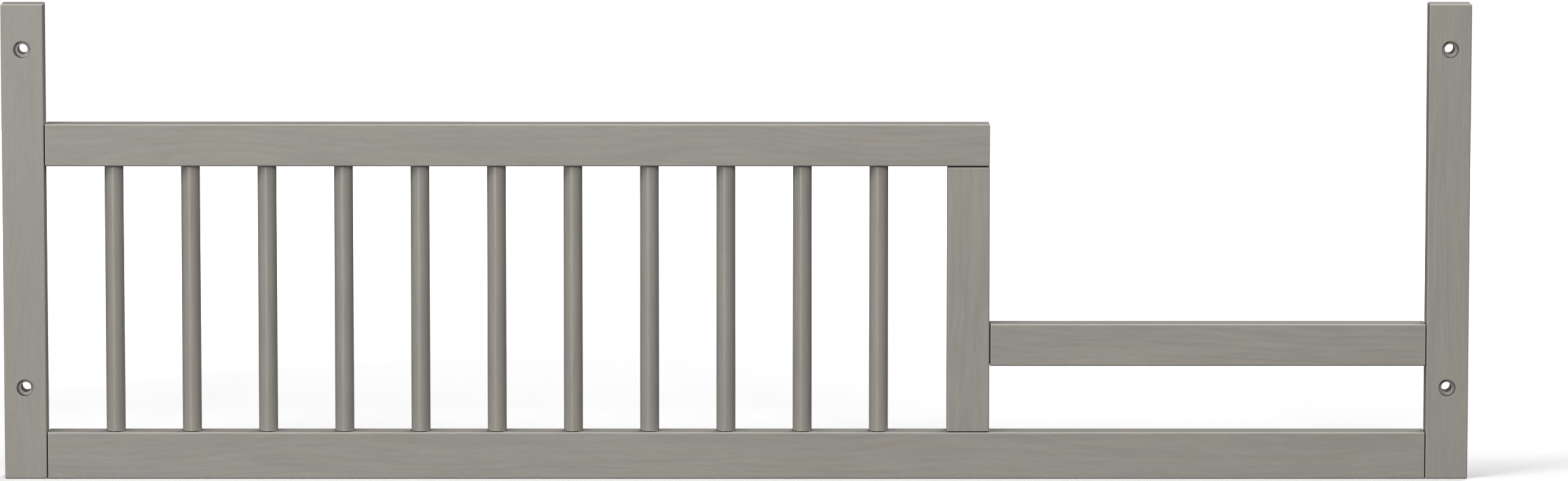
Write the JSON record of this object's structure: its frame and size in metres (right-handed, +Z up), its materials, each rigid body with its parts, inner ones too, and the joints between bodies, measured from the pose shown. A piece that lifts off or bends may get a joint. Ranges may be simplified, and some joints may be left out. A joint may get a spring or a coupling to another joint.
{
  "type": "toddler bed",
  "caption": "Toddler bed front rail: wooden guard rail with round spindles, a low rail under an entry gap, and end posts that bolt to a crib.",
  "frame": {"origin": "on the floor plane, under the middle of the rail, half way through its thickness", "axes": "+X along the rail to the right as seen from the front, +Y from the front face to the back face, +Z up"},
  "size_m": [1.39, 0.028, 0.4525],
  "materials": {
    "stained_bar": "satin grey stain over fine straight grain, eased edges",
    "stained_spindle": "satin grey stain on turned dowel rod",
    "bare_dowel": "bare beech, fluted, dry"
  },
  "bodies": {
    "root": {"left_post": "stained_bar", "right_post": "stained_bar", "bottom_rail": "stained_bar", "top_rail": "stained_bar", "low_rail": "stained_bar", "mid_post": "stained_bar", "spindle_01": "stained_spindle", "spindle_02": "stained_spindle", "spindle_03": "stained_spindle", "spindle_04": "stained_spindle", "spindle_05": "stained_spindle", "spindle_06": "stained_spindle", "spindle_07": "stained_spindle", "spindle_08": "stained_spindle", "spindle_09": "stained_spindle", "spindle_10": "stained_spindle", "spindle_11": "stained_spindle", "dowel_top_rail_left_post_lower": "bare_dowel", "dowel_top_rail_left_post_upper": "bare_dowel", "dowel_bottom_rail_left_post_lower": "bare_dowel", "dowel_bottom_rail_left_post_upper": "bare_dowel", "dowel_bottom_rail_right_post_lower": "bare_dowel", "dowel_bottom_rail_right_post_upper": "bare_dowel", "dowel_low_rail_right_post_lower": "bare_dowel", "dowel_low_rail_right_post_upper": "bare_dowel", "dowel_low_rail_mid_post_lower": "bare_dowel", "dowel_low_rail_mid_post_upper": "bare_dowel", "dowel_top_rail_mid_post_left": "bare_dowel", "dowel_top_rail_mid_post_right": "bare_dowel", "dowel_bottom_rail_mid_post_left": "bare_dowel", "dowel_bottom_rail_mid_post_right": "bare_dowel"}
  },
  "joints": []
}
